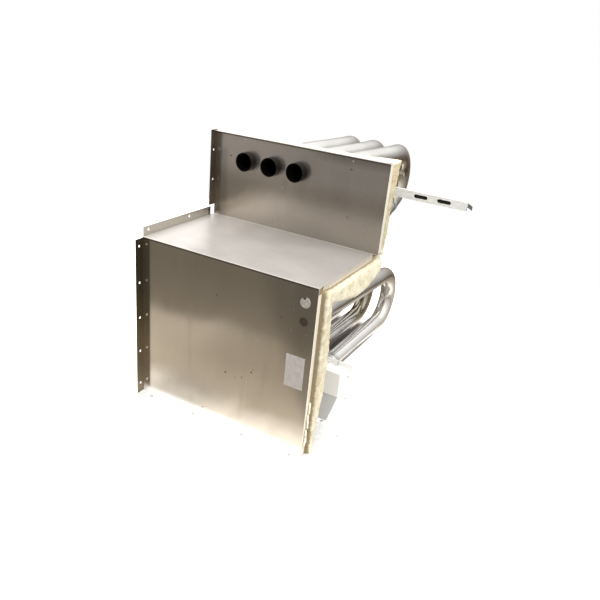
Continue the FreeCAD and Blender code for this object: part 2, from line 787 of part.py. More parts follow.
def make_channel(node, right, front, low, tab, screw_level, slot_middles):
    """Channel with its web in front, its lips behind and a bent tab at the right end."""
    left = bank_across[0] - s.channel_left_margin
    high = low + s.channel_height
    back = front + s.channel_lip
    web = front + s.channel_sheet
    body = new_body(node + "_body")
    pad(body, node + "_section", "YZ_Plane", left, [
        (front, low), (back, low), (back, low + s.channel_sheet), (web, low + s.channel_sheet),
        (web, high - s.channel_sheet), (back, high - s.channel_sheet), (back, high), (front, high),
    ], right - left)
    drop = tab * tan_of(s.channel_tab_angle)
    pad(body, node + "_tab", "XZ_Plane", -web, [
        (right - s.channel_sheet, high - s.channel_tab_height),
        (right + tab, high - s.channel_tab_height - drop),
        (right + tab, high - drop),
        (right - s.channel_sheet, high),
    ], s.channel_sheet)
    if slot_middles:
        pocket(body, node + "_slots", "XZ_Plane", -front + s.channel_sheet,
               lambda outline: slots(outline, slot_middles, low + s.channel_height / 2), s.channel_sheet * 3)
    pocket(body, node + "_screw_holes", "XZ_Plane", -front + s.channel_sheet,
           lambda outline: circles(outline, [(x, screw_level) for x in bank_across], screw_hole),
           s.channel_sheet * 3)
    keep(node, body)


def make_band(node, across, front, axis_level, slope, ear_low, ear_high, screw_level):
    """Ring round a tube with an ear that lies against the front of a channel's web."""
    ring_inner = s.tube_radius + s.screw_clearance
    ring_outer = ring_inner + s.band_sheet
    lean = cos_of(slope)
    fall = sin_of(slope)
    begin = front - s.band_width * lean + ring_outer * fall
    begin_level = axis_level - (front - begin) * tan_of(slope)
    spare = s.band_width
    ring = []
    for part, radius, extra in (("outer", ring_outer, Size.of(0)), ("inner", ring_inner, spare)):
        item = doc.addObject("Part::Cylinder", f"{node}_{part}")
        item.Placement = Placement(Vector(), Rotation(Vector(1, 0, 0), float(slope) - 90))
        bind(item, "Radius", radius)
        bind(item, "Height", s.band_width - s.band_sheet / 4 + extra * 2)
        place(item, across, begin - extra * lean, begin_level - extra * fall)
        ring.append(item)
    ear = block(node + "_ear", (across - s.band_ear / 2, front - s.band_sheet, ear_low),
                (across + s.band_ear / 2, front, ear_high))
    hole_start = (across, front - s.band_sheet * 2, screw_level)
    hole = rod(node + "_hole", screw_hole, s.band_sheet * 3, hole_start, "y")
    keep(node, cut(node + "_cut", fuse(node + "_solid", [ring[0], ear]), [ring[1], hole]))


def pass_two(back):
    """Height of the second pass's axis at a distance from the front."""
    return second_rear - (rear_corner - back) * slope2


rear_front = s.rear_centre - s.rear_channel_lead
rear_right = half_width + s.rear_channel_overhang
outer_slot = rear_right - s.slot_inset
tube_rise = s.tube_radius / cos_of(s.second_pass_slope)
rear_low = pass_two(rear_front + s.channel_lip) + tube_rise + s.hole_clearance
rear_screw = rear_low + s.channel_height / 2
make_channel("rear_tube_channel", rear_right, rear_front, rear_low, s.rear_channel_tab, rear_screw,
             [outer_slot - s.slot_pitch, outer_slot])
lower_front = s.lower_channel_front
lower_low = fourth_pass - s.tube_radius - s.hole_clearance - s.channel_height
lower_screw = lower_low + s.channel_height / 2
make_channel("lower_tube_channel", bank_across[2] + s.lower_channel_right_margin, lower_front, lower_low,
             s.lower_channel_tab, lower_screw, [])
for number, across in enumerate(bank_across, start=1):
    make_band(f"rear_tube_band_{number}", across, rear_front, pass_two(rear_front), s.second_pass_slope,
              pass_two(rear_front) + s.tube_radius, rear_screw + s.screw_head * 1.5, rear_screw)
    make_band(f"lower_tube_band_{number}", across, lower_front, fourth_pass, Size.of(0),
              lower_screw - s.screw_head * 1.5, fourth_pass - s.tube_radius, lower_screw)


# Fasteners, each kind in one node

def screw(name, point, axis, length, back=False):
    """Pan-head screw; the point is where its head seats, and back turns it against the axis."""
    x, y, z = (Size.of(size) for size in point)
    head_shift = 0 if back else -s.screw_head_rise
    shank_shift = -length if back else 0
    shift = {"y": lambda size: (x, y + size, z), "z": lambda size: (x, y, z + size)}[axis]
    head = rod(name + "_head", s.screw_head, s.screw_head_rise, shift(head_shift), axis)
    shank = rod(name + "_shank", s.screw_radius, length, shift(shank_shift), axis)
    return fuse(name, [head, shank])


for tag, places, sheet_on_pan in (("base", bottom_screws, s.panel_sheet),
                                  ("collector", box_flange_screws, s.box_sheet)):
    seat = panel_bottom + sheet_on_pan
    keep(tag + "_screws", group(tag + "_screw_set", [
        screw(f"{tag}_screw_{i}", (x, y, seat), "z", seat, back=True) for i, (x, y) in enumerate(places)]))
keep("cover_screws", group("cover_screw_set", [
    screw(f"cover_screw_{i}", (x, cover_back, z), "y", s.screw_length, back=True)
    for i, (x, z) in enumerate(cover_screws)]))
keep("band_screws", group("band_screw_set", [
    screw(f"{tag}_band_screw_{i}", (x, front - s.band_sheet, level), "y", s.screw_length)
    for tag, front, level in (("rear", rear_front, rear_screw), ("lower", lower_front, lower_screw))
    for i, x in enumerate(bank_across)]))

# Covers of the two round holes in the front wall

plug_level, knockout_level = (level for across, level in round_holes)
plug_radius = s.round_hole - s.hole_clearance
plug_cap = rod("plug_cap", s.round_hole + s.plug_rim, s.plug_rise,
               (round_hole_across, -s.plug_rise, plug_level), "y")
plug_body = rod("plug_body", plug_radius, s.panel_sheet, (round_hole_across, 0, plug_level), "y")
keep("hole_plug", fuse("plug", [plug_cap, plug_body]))
keep("knockout_disc",
     rod("knockout", plug_radius, s.panel_sheet, (round_hole_across, 0, knockout_level), "y"))

# Checks and export

doc.recompute()
for item in doc.Objects:
    if "Invalid" in item.State or "Error" in item.State:
        raise RuntimeError(f"{item.Name} failed: {item.State}")
for node, item in parts.items():
    if item.Shape.isNull() or not item.Shape.isValid() or not item.Shape.Solids:
        raise RuntimeError(f"{node} has no sound shape")
os.makedirs("parts", exist_ok=True)
for node, item in parts.items():
    item.Shape.exportStep(f"parts/{node}.step")
    print(node, "solids", len(item.Shape.Solids), "volume", round(item.Shape.Volume))
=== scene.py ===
# Furnace heat exchanger: looks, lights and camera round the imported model. Lengths are in metres.

import json
import random

import bmesh
import bpy
import numpy as np
from mathutils import Matrix, Vector, noise


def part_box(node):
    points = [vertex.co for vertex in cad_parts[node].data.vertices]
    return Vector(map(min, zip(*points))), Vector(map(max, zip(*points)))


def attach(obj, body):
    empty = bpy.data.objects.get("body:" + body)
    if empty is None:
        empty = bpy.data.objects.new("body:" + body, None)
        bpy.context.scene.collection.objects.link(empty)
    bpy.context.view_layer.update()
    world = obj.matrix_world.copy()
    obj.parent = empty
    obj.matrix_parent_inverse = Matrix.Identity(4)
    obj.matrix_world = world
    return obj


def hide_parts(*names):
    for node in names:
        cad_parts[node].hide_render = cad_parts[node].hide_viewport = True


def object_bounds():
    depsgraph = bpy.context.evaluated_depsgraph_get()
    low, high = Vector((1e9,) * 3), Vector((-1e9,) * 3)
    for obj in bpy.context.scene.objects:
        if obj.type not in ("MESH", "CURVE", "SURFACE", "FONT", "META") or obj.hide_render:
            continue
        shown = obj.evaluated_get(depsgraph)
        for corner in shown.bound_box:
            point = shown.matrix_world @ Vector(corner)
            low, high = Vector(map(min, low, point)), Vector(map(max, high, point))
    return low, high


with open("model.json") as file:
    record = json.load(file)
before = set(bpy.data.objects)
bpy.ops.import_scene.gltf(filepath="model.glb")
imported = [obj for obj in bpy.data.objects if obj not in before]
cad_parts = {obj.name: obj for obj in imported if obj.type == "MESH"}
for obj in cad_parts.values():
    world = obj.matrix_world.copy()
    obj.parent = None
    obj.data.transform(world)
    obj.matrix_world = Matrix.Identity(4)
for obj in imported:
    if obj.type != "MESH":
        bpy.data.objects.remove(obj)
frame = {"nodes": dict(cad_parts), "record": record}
cad_low, cad_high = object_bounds()
nodes = frame["nodes"]
scene = bpy.context.scene

# Sizes of the source that the looks follow

sheet = 0.0012
channel_sheet = 0.0015
channel_tab = 0.016
blanket_gap = 0.0003
top_bend = 0.003
front_step = 0.013
return_flange = 0.0183
tube_width = 0.051


# Places that the looks follow, from the frame

panel_low, panel_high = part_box("vestibule_panel")
shelf_blanket_low, shelf_blanket_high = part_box("shelf_insulation")
upper_blanket_low, upper_blanket_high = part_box("upper_insulation")
front_blanket_low, front_blanket_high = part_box("front_insulation")
channel_low, channel_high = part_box("rear_tube_channel")
lower_channel_low, lower_channel_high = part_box("lower_tube_channel")
last_tube_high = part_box("tube_3")[1]
tube_side = last_tube_high.x
tube_back = last_tube_high.y
shelf_level = shelf_blanket_high.z + sheet + blanket_gap
wall_face = upper_blanket_low.y - sheet - blanket_gap
panel_left = panel_low.x
panel_right = panel_high.x
panel_top = panel_high.z - top_bend
return_inside = front_blanket_high.x - front_step
shelf_return_edge = shelf_level - return_flange


# Floor as it shows in reflections: distance from the object's foot, and radiance

footprint_middle = (cad_low + cad_high) / 2
footprint_half = (cad_high - cad_low) / 2
floor_own_light = 0.5
floor_glow = [
    (-0.09, (0.28, 0.26, 0.23)),
    (-0.05, (1.75, 1.66, 1.55)),
    (0.01, (1.52, 1.43, 1.30)),
    (0.10, (0.66, 0.58, 0.47)),
    (0.24, (0.45, 0.39, 0.305)),
    (0.40, (0.42, 0.365, 0.29)),
    (0.425, (0.25, 0.215, 0.17)),
    (0.8, (0.175, 0.15, 0.115)),
]

# Line on the floor that the front wall's darker right part starts at: a point, and its normal

shade_line_point = (0.216, -0.094)
shade_line_normal = (0.781, -0.624)


# Camera, fitted to the corners of the panel in the photograph

camera_place = Vector((0.79180, -1.16128, 0.98442))
camera_right = Vector((0.86923535, 0.48588437, 0.09135802))
camera_up = Vector((-0.26897545, 0.30971398, 0.91199203))
camera_back = Vector((0.41482781, -0.81730877, 0.39990531))
camera_data = bpy.data.cameras.new("camera")
camera_data.sensor_width = 36
camera_data.lens = 37.909
camera = bpy.data.objects.new("camera", camera_data)
camera.matrix_world = Matrix((
    (camera_right.x, camera_up.x, camera_back.x, camera_place.x),
    (camera_right.y, camera_up.y, camera_back.y, camera_place.y),
    (camera_right.z, camera_up.z, camera_back.z, camera_place.z),
    (0, 0, 0, 1),
))
scene.collection.objects.link(camera)
scene.camera = camera


# Shader building

def fill_ramp(node, stops):
    """Sets a colour ramp's stops, each a position and a linear colour."""
    elements = node.color_ramp.elements
    while len(elements) < len(stops):
        elements.new(0.5)
    for element, (position, colour) in zip(elements, stops):
        element.position = position
        element.color = (*colour, 1)


class Shader:
    """A material's nodes, with short ways to add the common ones."""

    def __init__(self, name, **constants):
        self.material = bpy.data.materials.new(name)
        self.material.use_nodes = True
        self.tree = self.material.node_tree
        self.tree.nodes.clear()
        self.output = self.tree.nodes.new("ShaderNodeOutputMaterial")
        self.surface = self.tree.nodes.new("ShaderNodeBsdfPrincipled")
        self.tree.links.new(self.surface.outputs[0], self.output.inputs[0])
        self.place = self.tree.nodes.new("ShaderNodeTexCoord").outputs["Object"]
        self.x, self.y, self.z = self.split(self.place)
        facing = self.tree.nodes.new("ShaderNodeNewGeometry").outputs["Normal"]
        self.facing_x, self.facing_y, self.facing_z = self.split(facing)
        self.set(**constants)

    def feed(self, socket, value):
        """Links a socket to another one, or sets its number or colour."""
        if isinstance(value, bpy.types.NodeSocket):
            self.tree.links.new(value, socket)
        elif socket.type == "RGBA":
            socket.default_value = (*value, 1)
        else:
            socket.default_value = value

    def set(self, **values):
        """Sets or links sockets of the surface shader; an underscore stands for a space."""
        for name, value in values.items():
            self.feed(self.surface.inputs[name.replace("_", " ")], value)

    def split(self, vector):
        node = self.tree.nodes.new("ShaderNodeSeparateXYZ")
        self.feed(node.inputs[0], vector)
        return node.outputs[0], node.outputs[1], node.outputs[2]

    def math(self, operation, a, b=0.0):
        node = self.tree.nodes.new("ShaderNodeMath")
        node.operation = operation
        self.feed(node.inputs[0], a)
        self.feed(node.inputs[1], b)
        return node.outputs[0]

    def chain(self, operation, values):
        result = values[0]
        for value in values[1:]:
            result = self.math(operation, result, value)
        return result

    def times(self, *values):
        return self.chain("MULTIPLY", values)

    def plus(self, *values):
        return self.chain("ADD", values)

    def largest(self, *values):
        return self.chain("MAXIMUM", values)

    def minus(self, a, b):
        return self.math("SUBTRACT", a, b)

    def rest(self, value):
        """What is left of 1."""
        return self.minus(1.0, value)

    def size_of(self, value):
        return self.math("ABSOLUTE", value)

    def span(self, value, low, high, smooth=True):
        """0 at low, 1 at high, and clamped outside."""
        node = self.tree.nodes.new("ShaderNodeMapRange")
        node.interpolation_type = "SMOOTHSTEP" if smooth else "LINEAR"
        self.feed(node.inputs["Value"], value)
        node.inputs["From Min"].default_value = low
        node.inputs["From Max"].default_value = high
        return node.outputs[0]

    def below(self, value, low, high):
        """1 at low, 0 at high, and clamped outside."""
        return self.rest(self.span(value, low, high))

    def mix(self, factor, a, b):
        node = self.tree.nodes.new("ShaderNodeMix")
        node.data_type = "RGBA"
        self.feed(node.inputs[0], factor)
        self.feed(node.inputs[6], a)
        self.feed(node.inputs[7], b)
        return node.outputs[2]

    def darker(self, colour, amount):
        return self.mix(amount, colour, (0, 0, 0))

    def ramp(self, factor, stops):
        node = self.tree.nodes.new("ShaderNodeValToRGB")
        fill_ramp(node, stops)
        self.feed(node.inputs[0], factor)
        return node.outputs[0]

    def noise(self, scale, detail=4, roughness=0.55, stretch=(1, 1, 1)):
        mapping = self.tree.nodes.new("ShaderNodeMapping")
        self.feed(mapping.inputs[0], self.place)
        mapping.inputs["Scale"].default_value = stretch
        node = self.tree.nodes.new("ShaderNodeTexNoise")
        self.feed(node.inputs["Vector"], mapping.outputs[0])
        node.inputs["Scale"].default_value = scale
        node.inputs["Detail"].default_value = detail
        node.inputs["Roughness"].default_value = roughness
        return node.outputs[0]

    def cell_colours(self, scale):
        node = self.tree.nodes.new("ShaderNodeTexVoronoi")
        self.feed(node.inputs["Vector"], self.place)
        node.inputs["Scale"].default_value = scale
        return node.outputs["Color"]

    def spot(self, centre, radius):
        """1 inside a small round patch and 0 outside, with a soft rim."""
        node = self.tree.nodes.new("ShaderNodeVectorMath")
        node.operation = "DISTANCE"
        self.feed(node.inputs[0], self.place)
        node.inputs[1].default_value = centre
        return self.below(node.outputs["Value"], radius * 0.7, radius * 1.3)

    def bump(self, height, strength, distance, under=None):
        """A bump, on top of the normal of another one where that is given."""
        node = self.tree.nodes.new("ShaderNodeBump")
        self.feed(node.inputs["Height"], height)
        node.inputs["Strength"].default_value = strength
        node.inputs["Distance"].default_value = distance
        if under is not None:
            self.feed(node.inputs["Normal"], under)
        return node.outputs[0]


# Small marks on the panel

def on_upper_wall(across, up, radius):
    """A small mark on the upper wall, from its left edge and the shelf, in millimetres."""
    return (panel_left + across / 1000, wall_face, shelf_level + up / 1000), radius / 1000


def on_front_wall(across, up, radius):
    """The same on the front wall."""
    return (panel_left + across / 1000, 0, shelf_level + up / 1000), radius / 1000


dark_marks = [
    on_upper_wall(51, 175, 2.2), on_upper_wall(98, 89, 1.8), on_upper_wall(417, 203, 2.0),
    on_upper_wall(387, 123, 1.8), on_upper_wall(422, 80, 2.0), on_upper_wall(345, 92, 1.3),
    on_front_wall(235, -94, 1.8), on_front_wall(417, -98, 1.5), on_front_wall(271, -297, 2.2),
    on_front_wall(348, -270, 2.0), on_front_wall(321, -294, 1.6), on_front_wall(205, -428, 1.8),
    on_front_wall(352, -262, 1.2), on_front_wall(300, -302, 1.2), on_front_wall(90, -388, 1.2),
]
bright_marks = [
    on_upper_wall(96, 227, 2.4), on_upper_wall(419, 225, 2.2), on_upper_wall(223, 119, 1.5),
    on_front_wall(449, -68, 1.6), on_front_wall(448, -120, 1.6), on_front_wall(487, -122, 1.6),
]


# Materials

def upper_wall_light_and_shade(m, base, on_upper_face):
    """Painted light and shade on the upper wall: a lighter tone, warmer in the low part, and painted shade on
    the low part, the right part, beside the left flange and at the top corner.
    """
    low_part = m.below(m.z, shelf_level + 0.10, shelf_level + 0.17)
    # Painted light: a lighter tone over the upper wall, warmer low down.
    tone = m.mix(low_part, (0.76, 0.725, 0.69), (0.77, 0.70, 0.61))
    base = m.mix(m.times(on_upper_face, 0.8), base, tone)
    right_part = m.span(m.x, -0.16, 0.1)
    beside_flange = m.times(m.below(m.x, panel_left + 0.03, panel_left + 0.05),
                            m.below(m.z, panel_top - 0.06, panel_top - 0.03))
    top_corner = m.times(m.span(m.z, panel_top - 0.035, panel_top - 0.005), m.span(m.x, 0.02, 0.12))
    # Painted shade: each place, with how much it is darkened.
    shades = ((low_part, 0.34), (right_part, 0.25), (beside_flange, 0.22), (top_corner, 0.33))
    for place, depth in shades:
        base = m.darker(base, m.times(on_upper_face, place, depth))
    return base


def shelf_dust_light_and_shade(m):
    """Smeared dust, with painted shade on the shelf's right part and painted light at its left edge."""
    smear = m.noise(7, 4, 0.6, stretch=(1, 1.6, 1))
    dust = m.ramp(smear, [(0.4, (0.62, 0.58, 0.555)), (0.6, (0.71, 0.675, 0.645))])
    # Painted shade on the shelf's right part.
    dust = m.darker(dust, m.times(m.span(m.x, -0.17, -0.08), 0.27))
    # Painted light at the shelf's left edge.
    return m.mix(m.below(m.x, -0.23, -0.17), dust, (0.74, 0.71, 0.68))


def left_flange_shade(m, base, side):
    """Painted shade on the left side flanges, darker beside the two walls than beside the shelf."""
    on_left = m.times(side, m.below(m.x, panel_left + 0.002, panel_left + 0.004))
    above_shelf = m.span(m.z, shelf_level - 0.004, shelf_level - 0.002)
    beside_wall = m.span(m.y, wall_face - 0.03, wall_face - 0.028)
    base = m.mix(m.times(on_left, m.rest(above_shelf)), base, (0.24, 0.205, 0.145))
    base = m.mix(m.times(on_left, above_shelf, beside_wall), base, (0.20, 0.17, 0.13))
    return m.mix(m.times(on_left, above_shelf, m.rest(beside_wall), 0.4), base, (0.36, 0.35, 0.32))


def panel_sheet_metal():
    """Bright rolled sheet: cloudy stains, fine scratches, and dust where it faces up; painted light on the
    bottom flange, the right return flanges and the front wall's foot; painted shade under the folds, on the
    left flanges and the shelf's return flange; painted light and shade on the shelf and the upper wall.
    """
    m = Shader("panel_sheet_metal")
    up = m.span(m.facing_z, 0.5, 0.9)
    side = m.span(m.size_of(m.facing_x), 0.6, 0.9)
    ahead = m.span(m.size_of(m.facing_y), 0.6, 0.9)
    cloud = m.noise(6, 4, 0.55, stretch=(1, 1, 0.5))
    streak = m.noise(26, 5, 0.6, stretch=(1, 1, 0.12))
    base = m.ramp(cloud, [(0.3, (0.66, 0.61, 0.54)), (0.7, (0.74, 0.70, 0.63))])
    base = m.mix(m.times(m.span(streak, 0.55, 0.85), m.rest(up), 0.3), base, (0.46, 0.41, 0.33))
    on_upper_face = m.times(m.span(m.y, wall_face - 0.002, wall_face - 0.001), m.rest(up))
    # Painted light and shade on the upper wall.
    base = upper_wall_light_and_shade(m, base, on_upper_face)
    # Dust on faces that look up, with the shelf's painted light and shade.
    base = m.mix(m.times(up, 0.85), base, shelf_dust_light_and_shade(m))
    # Painted light: the bottom flange, which faces up, painted near white.
    lit_bottom_flange = m.times(up, m.below(m.z, panel_low.z + 0.004, panel_low.z + 0.006))
    base = m.mix(lit_bottom_flange, base, (0.96, 0.95, 0.93))
    # Painted shade on the left side flanges.
    base = left_flange_shade(m, base, side)
    # Painted shade: dark lines on the walls just under the shelf's front fold and under the top flange.
    shade_under_shelf = m.times(m.span(m.z, shelf_level - 0.007, shelf_level - 0.003),
                          m.below(m.z, shelf_level, shelf_level + 0.001))
    shade_under_top = m.span(m.z, panel_top - 0.008, panel_top - 0.004)
    base = m.mix(m.times(ahead, m.largest(shade_under_shelf, shade_under_top), 0.75), base, (0.10, 0.08, 0.06))
    # Painted light: the right return flanges, which face the side, painted pale.
    returns = m.times(side, m.span(m.x, return_inside - 0.003, return_inside - 0.001))
    base = m.mix(returns, base, (0.88, 0.83, 0.73))
    # Painted shade: the shelf's down-folded return flange, darker than the wall's.
    shelf_return_shade = m.times(m.span(m.y, 0.012, 0.016), m.below(m.y, wall_face - 0.002, wall_face),
                           m.span(m.z, shelf_return_edge - 0.002, shelf_return_edge))
    base = m.mix(m.times(returns, shelf_return_shade), base, (0.60, 0.545, 0.47))
    # Painted reflection: the front wall's foot painted near white, as the bright floor it reflects.
    foot = m.times(ahead, m.below(m.z, panel_low.z + 0.012, panel_low.z + 0.034))
    base = m.mix(foot, base, (0.98, 0.97, 0.94))
    for marks, colour in ((dark_marks, (0.06, 0.05, 0.04)), (bright_marks, (0.95, 0.95, 0.93))):
        for place, radius in marks:
            base = m.mix(m.spot(place, radius), base, colour)
    rough = m.plus(0.13, m.times(m.span(streak, 0.35, 0.75), 0.05), m.times(up, 0.2),
                   m.times(on_upper_face, 0.1))
    # The parts painted pale as painted light are made less metallic.
    pale = m.largest(m.times(foot, 0.8), lit_bottom_flange, returns)
    metallic = m.times(m.minus(0.97, m.times(up, 0.36)), m.rest(m.times(pale, 0.75)))
    waves = m.bump(m.noise(4, 1, 0.4), 0.2, 0.003)
    scratches = m.noise(900, 3, 0.6, stretch=(1, 1, 0.03))
    m.set(Base_Color=base, Roughness=rough, Metallic=metallic,
          Normal=m.bump(scratches, 0.04, 0.0003, waves))
    return m.material


def tube_steel():
    """Drawn tube with a heat tint at the rear bends, painted light on the last tube's lowest run, and painted
    shade on the lower sides and at the open ends.
    """
    m = Shader("tube_steel")
    patch = m.noise(14, 4, 0.6)
    base = m.ramp(patch, [(0.3, (0.54, 0.53, 0.515)), (0.7, (0.69, 0.68, 0.665))])
    rear = m.span(m.plus(m.y, m.times(patch, 0.06)), tube_back - 0.16, tube_back - 0.05)
    base = m.mix(m.times(rear, 0.75), base, (0.40, 0.34, 0.25))
    # Painted light: the last tube's lowest run is painted pale; above it, the lower sides get
    # painted shade, on the last tube less far to the back
    last_tube = m.span(m.x, tube_side - tube_width - 0.003, tube_side - tube_width)
    lit_run = m.times(m.below(m.z, 0.20, 0.27), last_tube)
    base = m.mix(m.times(lit_run, 0.6), base, (0.94, 0.93, 0.91))
    to_back = m.plus(m.y, m.times(last_tube, 0.25))
    shaded = m.times(m.below(m.facing_z, -0.3, 0.45), m.below(m.z, shelf_level - 0.02, shelf_level),
                     m.below(to_back, 0.58, 0.74), 0.9, m.rest(m.times(lit_run, 0.8)))
    base = m.mix(shaded, base, (0.06, 0.05, 0.038))
    # Painted shade: the stubs near their open ends painted near black, as dark openings and shaded sides.
    mouth_shade = m.times(m.below(m.y, wall_face + 0.004, wall_face + 0.008),
                    m.span(m.z, shelf_level, shelf_level + 0.01))
    base = m.mix(mouth_shade, base, (0.045, 0.04, 0.035))
    rough = m.plus(0.13, m.times(m.span(patch, 0.3, 0.8), 0.1), m.times(mouth_shade, 0.35))
    lines = m.noise(300, 4, 0.6, stretch=(1, 0.05, 1))
    m.set(Base_Color=base, Roughness=rough, Metallic=m.rest(m.times(lit_run, 0.2)),
          Normal=m.bump(lines, 0.06, 0.0005))
    return m.material


def galvanised_sheet():
    """Spangled sheet, with painted shade on the bent tabs of the two channels."""
    m = Shader("galvanised_sheet", Metallic=0.25)
    grey = m.split(m.cell_colours(120))[0]
    base = m.ramp(grey, [(0.0, (0.78, 0.78, 0.77)), (1.0, (0.87, 0.87, 0.86))])
    # Painted shade: the bent tabs of the two channels painted dark.
    rear_tab_shade = m.times(m.span(m.x, channel_high.x - channel_tab, channel_high.x - channel_tab + 0.003),
                       m.span(m.z, channel_low.z - 0.03, channel_low.z - 0.025))
    lower_tab_shade = m.times(m.span(m.x, lower_channel_high.x - 0.034, lower_channel_high.x - 0.031),
                        m.span(m.y, lower_channel_low.y - 0.002, lower_channel_low.y - 0.001),
                        m.below(m.z, lower_channel_high.z + 0.002, lower_channel_high.z + 0.003))
    base = m.mix(m.largest(rear_tab_shade, lower_tab_shade), base, (0.14, 0.14, 0.145))
    m.set(Base_Color=base, Roughness=m.plus(0.34, m.times(grey, 0.14)),
          Normal=m.bump(m.noise(30, 3), 0.1, 0.001))
    return m.material


def aluminised_sheet():
    """Dull pale sheet, with painted shade on the collector's slanted wall."""
    m = Shader("aluminised_sheet", Metallic=0.08)
    patch = m.noise(40, 5, 0.6)
    base = m.ramp(patch, [(0.3, (0.95, 0.95, 0.94)), (0.7, (0.98, 0.98, 0.97))])
    # Painted shade: the slanted wall painted grey.
    slanted = m.times(m.span(m.facing_z, 0.2, 0.35), m.below(m.facing_z, 0.85, 0.95))
    base = m.mix(slanted, base, (0.45, 0.45, 0.44))
    m.set(Base_Color=base, Roughness=m.plus(0.42, m.times(patch, 0.2)),
          Normal=m.bump(m.noise(500, 3), 0.08, 0.0004))
    return m.material


def plated_steel():
    m = Shader("plated_steel", Metallic=1.0)
    patch = m.noise(200, 4)
    base = m.ramp(patch, [(0.3, (0.62, 0.62, 0.60)), (0.7, (0.76, 0.76, 0.73))])
    m.set(Base_Color=base, Roughness=m.plus(0.22, m.times(patch, 0.15)))
    return m.material


def plug_steel(name, base):
    """Plate of a plug, with the shade of a dent painted as a dark spot at the top of its rim."""
    m = Shader(name, Metallic=0.7)
    patch = m.noise(140, 4)
    low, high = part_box(name)
    # Painted shade of a dent: a dark spot at the top of the rim.
    dent = (low.x * 0.6 + high.x * 0.4, low.y, high.z - 0.001)
    colour = m.mix(m.span(patch, 0.35, 0.7), [c * 0.72 for c in base], base)
    m.set(Base_Color=m.mix(m.spot(dent, 0.0045), colour, (0.10, 0.08, 0.06)),
          Roughness=m.plus(0.3, m.times(patch, 0.25)))
    return m.material


def channel_shade_sheet_steel():
    """Painted shade: pale where it faces the back, and dark in front, where it shows through the slots."""
    m = Shader("channel_slot_shade", Roughness=0.6, Metallic=0.3)
    to_back = m.span(m.facing_y, -0.5, 0.5)
    m.set(Base_Color=m.mix(to_back, (0.035, 0.034, 0.032), (0.76, 0.76, 0.75)))
    return m.material


def gasket_fibre():
    m = Shader("gasket_fibre", Roughness=0.95)
    fibre = m.noise(600, 4)
    m.set(Base_Color=m.ramp(fibre, [(0.3, (0.55, 0.54, 0.50)), (0.7, (0.74, 0.73, 0.69))]),
          Normal=m.bump(fibre, 0.5, 0.0006))
    return m.material


def blanket_crease_shade(m):
    """Painted shade in dark ragged lines where the blankets meet the return flanges and each other."""
    outside = m.span(m.x, return_inside - 0.003, return_inside - 0.001)
    ragged = m.times(m.minus(m.noise(110, 3, 0.6), 0.5), 0.016)
    ragged_x = m.plus(m.x, m.times(ragged, 0.5))
    ragged_y = m.plus(m.y, ragged)
    ragged_z = m.plus(m.z, ragged)
    upper_return_edge = wall_face + return_flange
    shelf_crease = m.times(m.span(ragged_z, shelf_return_edge - 0.008, shelf_return_edge - 0.005),
                           m.below(m.z, shelf_level - 0.002, shelf_level),
                           m.below(ragged_x, return_inside + 0.003, return_inside + 0.008))
    front_crease = m.times(m.below(ragged_y, return_flange + 0.008, return_flange + 0.018),
                           m.below(ragged_x, return_inside + 0.008, return_inside + 0.014),
                           m.below(m.z, shelf_return_edge, shelf_return_edge + 0.004))
    upper_crease = m.times(m.below(m.y, upper_return_edge + 0.002, upper_return_edge + 0.005),
                           m.span(m.z, shelf_level - 0.002, shelf_level))
    return [m.times(crease, outside, 0.9) for crease in (shelf_crease, front_crease, upper_crease)]


def glass_fibre_blanket():
    """Cream glass fibre, browner in places, with matted strands, and painted shade on the upper blanket, at
    the shelf's height and in the creases.
    """
    m = Shader("glass_fibre_blanket", Roughness=0.95)
    clump = m.noise(38, 5, 0.65)
    matted = m.noise(260, 5, 0.7, stretch=(1, 1, 0.35))
    base = m.ramp(clump, [(0.30, (0.56, 0.50, 0.33)), (0.5, (0.68, 0.63, 0.47)),
                          (0.66, (0.74, 0.70, 0.57))])
    base = m.mix(m.times(m.span(matted, 0.45, 0.8), 0.5), base, (0.80, 0.77, 0.66))
    threads = m.noise(70, 4, 0.6, stretch=(1, 1, 0.12))
    front_part = m.times(m.below(m.y, 0.07, 0.08), m.below(m.z, shelf_level - 0.03, shelf_level - 0.02))
    base = m.mix(m.times(m.span(threads, 0.48, 0.7), front_part, 0.6), base, (0.45, 0.33, 0.17))
    # Painted shade: the upper blanket's faces that don't look up, painted darker and browner.
    seen_top = m.span(m.facing_z, 0.2, 0.8)
    shaded_upper_part = m.times(m.span(m.z, shelf_level + 0.002, shelf_level + 0.02), m.rest(seen_top))
    base = m.mix(m.times(shaded_upper_part, 0.65), base, (0.44, 0.375, 0.22))
    scorched = (panel_right - 0.004, upper_blanket_low.y + 0.022, panel_top - 0.045)
    base = m.mix(m.times(m.spot(scorched, 0.026), 0.2), base, (0.62, 0.40, 0.20))
    # Painted shade on faces that look up at the shelf's height.
    base = m.darker(base, m.times(seen_top, m.below(m.z, shelf_level, shelf_level + 0.02), 0.22))
    # Painted shade in the creases.
    for crease in blanket_crease_shade(m):
        base = m.mix(crease, base, (0.20, 0.15, 0.075))
    m.set(Base_Color=base, Normal=m.bump(matted, 0.6, 0.0015, m.bump(clump, 0.6, 0.004)))
    return m.material


def torn_fibre():
    m = Shader("torn_fibre", Roughness=0.95)
    m.set(Base_Color=m.ramp(m.noise(220, 4), [(0.35, (0.66, 0.60, 0.45)), (0.6, (0.86, 0.83, 0.72))]))
    return m.material


def label_paper():
    m = Shader("label_paper", Roughness=0.6)
    grime = m.noise(90, 4)
    m.set(Base_Color=m.ramp(grime, [(0.3, (0.42, 0.385, 0.36)), (0.7, (0.53, 0.495, 0.47))]))
    return m.material


